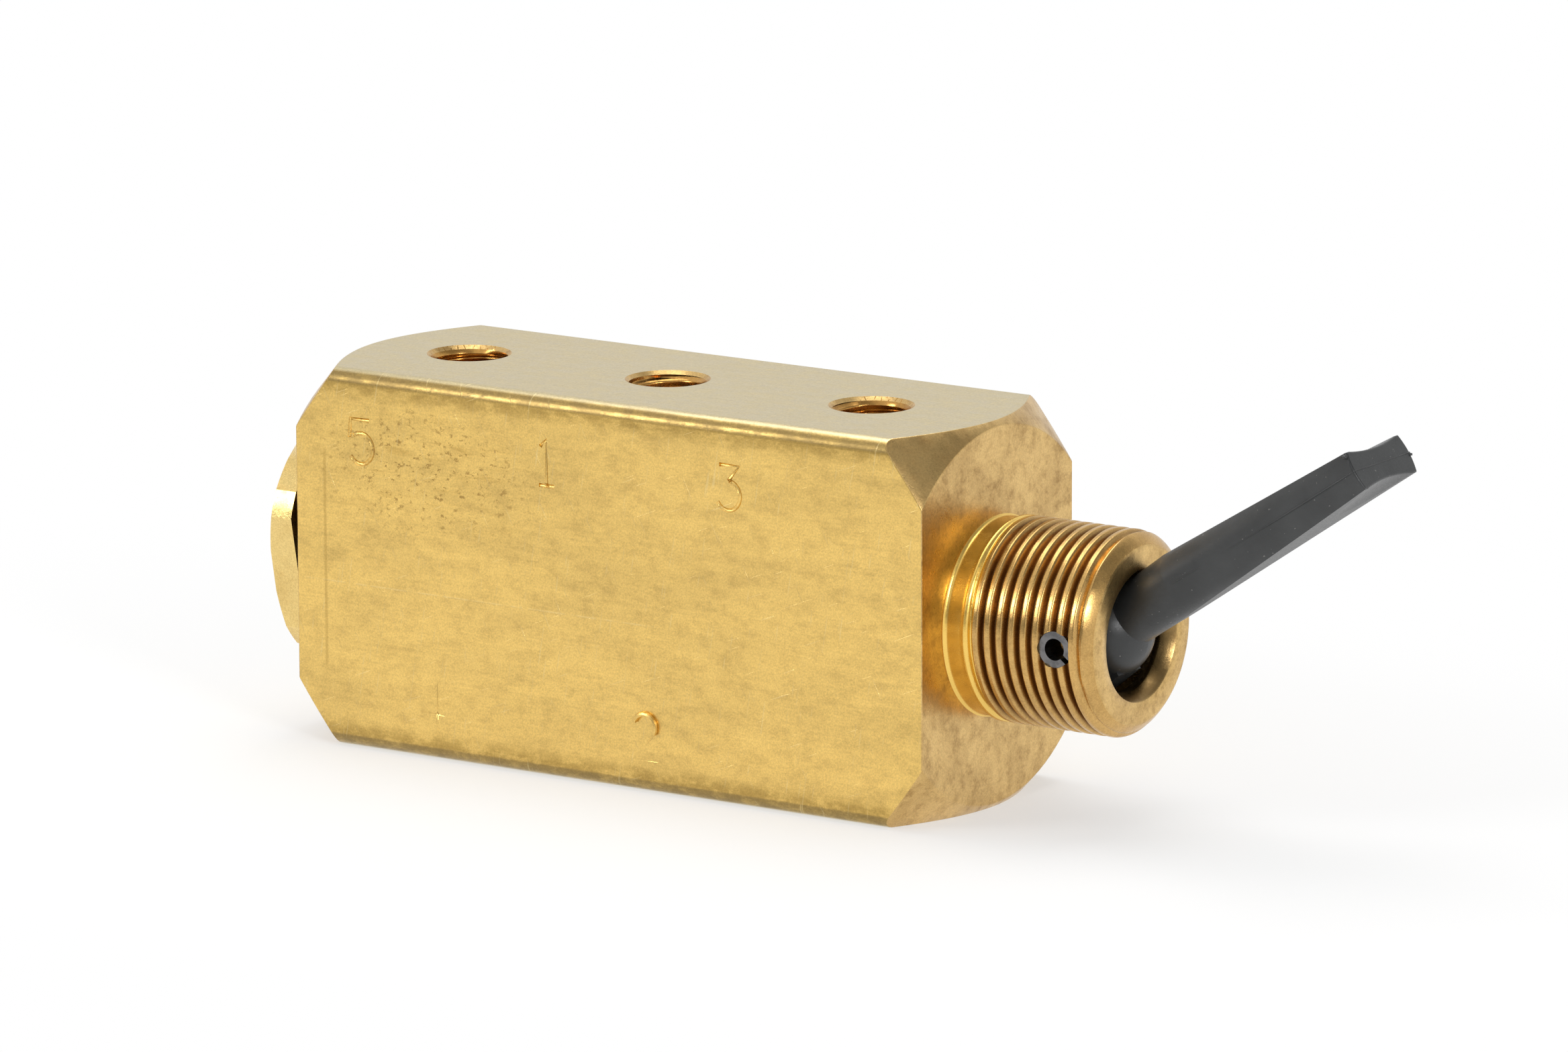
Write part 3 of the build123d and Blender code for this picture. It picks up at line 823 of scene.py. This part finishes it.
@dataclass
class Lever:
    """The moulded lever's mould line and the tag of flash at its end, in millimetres."""

    pivot: tuple[float, float, float] = (7.33, 0.0, 0.0)
    rise: float = 33.0
    axis_lift: float = 0.187
    end_reach: float = 21.2
    line_radius: float = 0.035
    side_points: tuple[Point2, ...] = ((6.5, 1.86), (9.5, 1.88), (13.0, 2.13), (17.0, 2.56), (21.1, 3.04))

    def spot(self, reach: float, across: float, lift: float) -> Vector:
        """Point in the lever's own frame, in metres."""
        turn = math.radians(self.rise)
        x = self.pivot[0] + reach * math.cos(turn) - lift * math.sin(turn)
        z = self.pivot[2] + reach * math.sin(turn) + lift * math.cos(turn)
        return Vector((x, across, z)) * MM

    def build(self, finish: bpy.types.Material) -> bpy.types.Object:
        """Build the mould line round the paddle with its tag of flash.

        Args:
            finish: The lever's material.

        Returns:
            The piece.
        """
        near = [self.spot(reach, -across, self.axis_lift) for reach, across in self.side_points]
        far = [self.spot(reach, across, self.axis_lift) for reach, across in reversed(self.side_points)]
        end = [self.spot(self.end_reach, across, self.axis_lift) for across in (-2.98, -1.4, 0.3, 1.7, 2.98)]
        curve = bpy.data.curves.new("mould_line", "CURVE")
        curve.dimensions = "3D"
        curve.bevel_depth = self.line_radius * MM
        curve.bevel_resolution = 1
        curve.use_fill_caps = True
        line = curve.splines.new("POLY")
        route = [*near, *end, *far]
        line.points.add(len(route) - 1)
        for number, point in enumerate(route):
            line.points[number].co = (*point, 1.0)
            line.points[number].radius = 1.0 + 0.35 * math.sin(number * 2.3)
        maker = new_piece("mould_line_route", curve)
        mesh = bpy.data.meshes.new_from_object(maker.evaluated_get(bpy.context.evaluated_depsgraph_get()))
        bpy.data.objects.remove(maker)
        work = bmesh.new()
        work.from_mesh(mesh)
        for place, size in ((self.spot(21.15, 2.98, 0.1), (0.20, 0.14, 0.10)), (self.spot(21.05, -3.00, 1.14), (0.20, 0.15, 0.12))):
            grown = bmesh.ops.create_icosphere(work, subdivisions=2, radius=MM)
            for vertex in grown["verts"]:
                away = vertex.co
                lump = 1.0 + 0.25 * math.sin(away.x / MM * 5.0) * math.cos(away.z / MM * 4.0)
                vertex.co = place + Vector((away.x * size[0], away.y * size[1], away.z * size[2])) * lump
        for face in work.faces:
            face.smooth = True
        work.to_mesh(mesh)
        work.free()
        piece = new_piece("lever_mould_line", mesh)
        dress(piece, finish)
        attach(piece, "lever")
        return piece


@dataclass(frozen=True)
class PhotoCamera:
    """The camera that the photograph was taken with, in millimetres and degrees."""

    azimuth: float = 33.57
    elevation: float = 12.29
    roll: float = -0.22
    distance: float = 589.8
    aim: tuple[float, float, float] = (-14.745, 0.0, 0.0)
    right_shift: float = 0.2045
    up_shift: float = 3.347
    focal_length: float = 236.24
    sensor_width: float = 36.0

    def build(self) -> bpy.types.Object:
        """Make the scene's camera.

        Returns:
            The camera.
        """
        az, el, roll = (math.radians(value) for value in (self.azimuth, self.elevation, self.roll))
        right = Vector((math.cos(az), math.sin(az), 0.0))
        up = Vector((-math.sin(az) * math.sin(el), math.cos(az) * math.sin(el), math.cos(el)))
        back = Vector((math.sin(az) * math.cos(el), -math.cos(az) * math.cos(el), math.sin(el)))
        across = right * math.cos(roll) + up * math.sin(roll)
        upright = up * math.cos(roll) - right * math.sin(roll)
        place = (Vector(self.aim) + across * self.right_shift + upright * self.up_shift + back * self.distance) * MM
        lens = bpy.data.cameras.new("photo_camera")
        lens.lens = self.focal_length
        lens.sensor_width = self.sensor_width
        lens.sensor_fit = "HORIZONTAL"
        lens.clip_start = 0.01
        lens.clip_end = 20.0
        camera = bpy.data.objects.new("photo_camera", lens)
        bpy.context.scene.collection.objects.link(camera)
        camera.matrix_world = Matrix.Translation(place) @ Matrix((across, upright, back)).transposed().to_4x4()
        bpy.context.scene.camera = camera
        return camera


@dataclass(frozen=True)
class Studio:
    """The pale floor, the soft lamps and the surroundings that the metal reflects."""

    floor_height: float = -11.2
    floor_size: float = 3.0
    floor_colour: Colour = (0.94, 0.94, 0.935)
    lamp_size: float = 0.5
    fill_strength: float = 0.5

    def build(self) -> None:
        """Make the floor, the lamps and the world, with colours shown as they are."""
        bpy.context.scene.view_settings.view_transform = "Standard"
        self.floor()
        middle = Vector((-0.015, 0.0, 0.0))
        self.lamp("lamp_above", Vector((-0.12, 0.10, 0.62)), middle, (self.lamp_size, self.lamp_size), 2.0)
        self.lamp("lamp_front_left", middle + Vector((-0.54, -0.70, 0.42)) * 0.7, middle, (0.24, 0.16), 1.1)
        self.lamp("lamp_front_right", middle + Vector((0.80, -0.45, 0.38)) * 0.7, middle, (0.16, 0.12), 1.3)
        self.world()

    def floor(self) -> None:
        """Make the floor, white to the camera and in reflections, with the object's shadow on it."""
        half = self.floor_size / 2.0
        mesh = bpy.data.meshes.new("studio_floor")
        corners = [(-half, -half, 0.0), (half, -half, 0.0), (half, half, 0.0), (-half, half, 0.0)]
        mesh.from_pydata([Vector(corner) + Vector((0.0, 0.0, self.floor_height * MM)) for corner in corners], [], [(0, 1, 2, 3)])
        floor = new_piece("studio_floor", mesh)
        shade = Shade("floor_white")
        shade.connect("Base Color", self.floor_colour)
        shade.connect("Roughness", 1.0)
        shade.connect("Specular IOR Level", 0.0)
        path = shade.node("ShaderNodeLightPath")
        glow = shade.node("ShaderNodeEmission", {"Color": (1.0, 1.0, 1.0, 1.0), "Strength": 1.0})
        bright = shade.maths("MAXIMUM", path.outputs["Is Glossy Ray"], path.outputs["Is Transmission Ray"])
        offset = shade.vector("MULTIPLY", shade.vector("SUBTRACT", shade.mm, (-12.0, 0.0, 0.0)), (0.6, 1.0, 0.0))
        away = shade.node("ShaderNodeVectorMath", {0: offset}, operation="LENGTH").outputs["Value"]
        plain = shade.maths("MULTIPLY", path.outputs["Is Camera Ray"], shade.between(away, 18.0, 60.0, 0.50, 1.0))
        share = shade.maths("ADD", shade.maths("MULTIPLY", bright, 0.72), plain)
        mixed = shade.node("ShaderNodeMixShader", {0: share, 1: shade.surface.outputs[0], 2: glow.outputs[0]})
        shade.tree.links.new(mixed.outputs[0], shade.tree.nodes["Material Output"].inputs["Surface"])
        dress(floor, shade.material)

    def lamp(self, name: str, place: Vector, target: Vector, size: tuple[float, float], power: float) -> None:
        """Make a soft lamp that looks at a point.

        Args:
            name: The lamp's name.
            place: Where it is.
            target: Where it looks.
            size: Its width and height in metres.
            power: Its power in watts.
        """
        light = bpy.data.lights.new(name, "AREA")
        light.shape = "RECTANGLE"
        light.size, light.size_y = size
        light.energy = power
        lamp = bpy.data.objects.new(name, light)
        bpy.context.scene.collection.objects.link(lamp)
        lamp.location = place
        lamp.rotation_euler = (target - place).to_track_quat("-Z", "Y").to_euler()

    def world(self) -> None:
        """Make the surroundings: white to the camera, with a dim side in what the metal reflects."""
        world = bpy.data.worlds.new("studio")
        bpy.context.scene.world = world
        world.use_nodes = True
        tree = world.node_tree
        tree.nodes.clear()
        out = tree.nodes.new("ShaderNodeOutputWorld")
        path = tree.nodes.new("ShaderNodeLightPath")
        spot = tree.nodes.new("ShaderNodeTexCoord")
        split = tree.nodes.new("ShaderNodeSeparateXYZ")
        tree.links.new(spot.outputs["Generated"], split.inputs[0])

        def reach(value: bpy.types.NodeSocket, low: float, high: float, first: float = 0.0,
                  last: float = 1.0) -> bpy.types.NodeSocket:
            """Turn a stretch of a direction's part smoothly into another stretch of values."""
            node = tree.nodes.new("ShaderNodeMapRange")
            node.interpolation_type = "SMOOTHSTEP"
            tree.links.new(value, node.inputs[0])
            for number, setting in enumerate((low, high, first, last), start=1):
                node.inputs[number].default_value = setting
            return node.outputs[0]

        def times(a: bpy.types.NodeSocket, b: bpy.types.NodeSocket) -> bpy.types.NodeSocket:
            """Multiply two outputs."""
            node = tree.nodes.new("ShaderNodeMath")
            node.operation = "MULTIPLY"
            tree.links.new(a, node.inputs[0])
            tree.links.new(b, node.inputs[1])
            return node.outputs[0]

        low_front = times(reach(split.outputs["Y"], -0.65, -0.15, 1.0, 0.0), reach(split.outputs["Z"], 0.25, 0.45, 1.0, 0.0))
        upper_right = times(reach(split.outputs["X"], 0.10, 0.55), reach(split.outputs["Z"], 0.30, 0.60))
        dim = tree.nodes.new("ShaderNodeMath")
        dim.operation = "MAXIMUM"
        tree.links.new(low_front, dim.inputs[0])
        tree.links.new(upper_right, dim.inputs[1])
        level = tree.nodes.new("ShaderNodeMapRange")
        tree.links.new(dim.outputs[0], level.inputs[0])
        level.inputs[3].default_value = 0.88
        level.inputs[4].default_value = 0.30
        seen = tree.nodes.new("ShaderNodeBackground")
        seen.inputs["Color"].default_value = (1.0, 1.0, 1.0, 1.0)
        mirrored = tree.nodes.new("ShaderNodeBackground")
        mirrored.inputs["Color"].default_value = (1.0, 1.0, 1.0, 1.0)
        tree.links.new(level.outputs[0], mirrored.inputs["Strength"])
        lit = tree.nodes.new("ShaderNodeBackground")
        lit.inputs["Color"].default_value = (1.0, 1.0, 1.0, 1.0)
        lit.inputs["Strength"].default_value = self.fill_strength
        glossy = tree.nodes.new("ShaderNodeMixShader")
        tree.links.new(path.outputs["Is Glossy Ray"], glossy.inputs[0])
        tree.links.new(lit.outputs[0], glossy.inputs[1])
        tree.links.new(mirrored.outputs[0], glossy.inputs[2])
        white = tree.nodes.new("ShaderNodeMath")
        white.operation = "MAXIMUM"
        tree.links.new(path.outputs["Is Camera Ray"], white.inputs[0])
        tree.links.new(path.outputs["Is Transmission Ray"], white.inputs[1])
        total = tree.nodes.new("ShaderNodeMixShader")
        tree.links.new(white.outputs[0], total.inputs[0])
        tree.links.new(glossy.outputs[0], total.inputs[1])
        tree.links.new(seen.outputs[0], total.inputs[2])
        tree.links.new(total.outputs[0], out.inputs["Surface"])


FRONT_BRASS = Brass("bar_brass", (0.86, 0.585, 0.180), (0.57, 0.385, 0.125), Grain.DRAWN_ALONG_X, roughness=0.32,
                    tarnish_share=0.55, marks_and_painted_light=True)
TURNED_BRASS = Brass("turned_brass", (0.72, 0.485, 0.190), (0.37, 0.220, 0.075), Grain.TURNED_ABOUT_X, roughness=0.30,
                     tarnish_share=0.75, patch_size=1.3, mouth_radius=3.86)
THREAD_BRASS = Brass("thread_brass", (0.64, 0.40, 0.14), (0.34, 0.19, 0.06), Grain.TURNED_ABOUT_X, roughness=0.24,
                     marks=0.003, lines=0.10, tarnish_share=0.4, groove_shade_radius=(5.66, 5.885))
PORT_BRASS = Brass("port_brass", (0.60, 0.33, 0.09), (0.30, 0.14, 0.04), Grain.CAST, roughness=0.22, marks=0.002)
PLUG_BRASS = Brass("plug_brass", (0.82, 0.60, 0.23), (0.60, 0.38, 0.11), Grain.TURNED_ABOUT_X, roughness=0.24,
                   marks=0.004, tarnish_share=0.35, highlight_height=5.6)
INNER_BRASS = Brass("inner_brass", (0.72, 0.50, 0.20), (0.45, 0.28, 0.09), Grain.TURNED_ABOUT_X, roughness=0.28)
LEVER_PLASTIC = Plastic("lever_plastic", (0.020, 0.0215, 0.022), 0.36, gloss=0.55)
GASKET_RUBBER = Plastic("gasket_rubber", (0.012, 0.012, 0.012), 0.55, gloss=0.35, dust=0.1)
SEAL_RUBBER = Plastic("seal_rubber", (0.02, 0.02, 0.021), 0.42, gloss=0.45, dust=0.0)
BUTTON_PLASTIC = Plastic("button_plastic", (0.72, 0.70, 0.64), 0.45, dust=0.1)
PIN_STEEL = Steel("pin_steel", (0.20, 0.195, 0.195), 0.30)
SPOOL_METAL = Steel("spool_aluminium", (0.80, 0.80, 0.82), 0.22, soot_share=0.1)
SPRING_STEEL = Steel("spring_steel", (0.55, 0.56, 0.58), 0.28, soot_share=0.2)


def dress_solids() -> None:
    """Give every plain solid that stays its finish."""
    inner = INNER_BRASS.make()
    seal = SEAL_RUBBER.make()
    finishes: dict[str, bpy.types.Material] = {
        "rear_plug": PLUG_BRASS.make(), "plug_gasket": GASKET_RUBBER.make(), "front_guide": inner,
        "spool": SPOOL_METAL.make(), "thrust_button": BUTTON_PLASTIC.make(), "return_spring": SPRING_STEEL.make(),
        "pivot_pin": PIN_STEEL.make(), "toggle_lever": LEVER_PLASTIC.make(),
    }
    finishes.update({"port_cage_" + number: inner for number in "54123"})
    finishes.update({f"seal_ring_{number}": seal for number in range(1, 7)})
    for name, finish in finishes.items():
        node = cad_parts[name]
        dress(node, finish)
        LOG.info("dressed %s with %s", name, finish.name)
    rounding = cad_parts["pivot_pin"].modifiers.new("rounded_ends", "BEVEL")
    rounding.width = 0.13 * MM
    rounding.segments = 3
    rounding.limit_method = "ANGLE"
    rounding.angle_limit = math.radians(50.0)


def main() -> None:
    """Build the scene in order and log the body's face count and the finishes given."""
    logging.basicConfig(level=logging.INFO, format="%(name)s: %(message)s")
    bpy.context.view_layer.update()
    finishes = [FRONT_BRASS.make(), TURNED_BRASS.make(), THREAD_BRASS.make(), PORT_BRASS.make()]
    body = ValveBody().build(finishes)
    LOG.info("built %s with %d faces", body.name, len(body.data.polygons))
    dress_solids()
    line = Lever().build(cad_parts["toggle_lever"].data.materials[0])
    LOG.info("built %s", line.name)
    PhotoCamera().build()
    Studio().build()


if __name__ == "__main__":
    main()
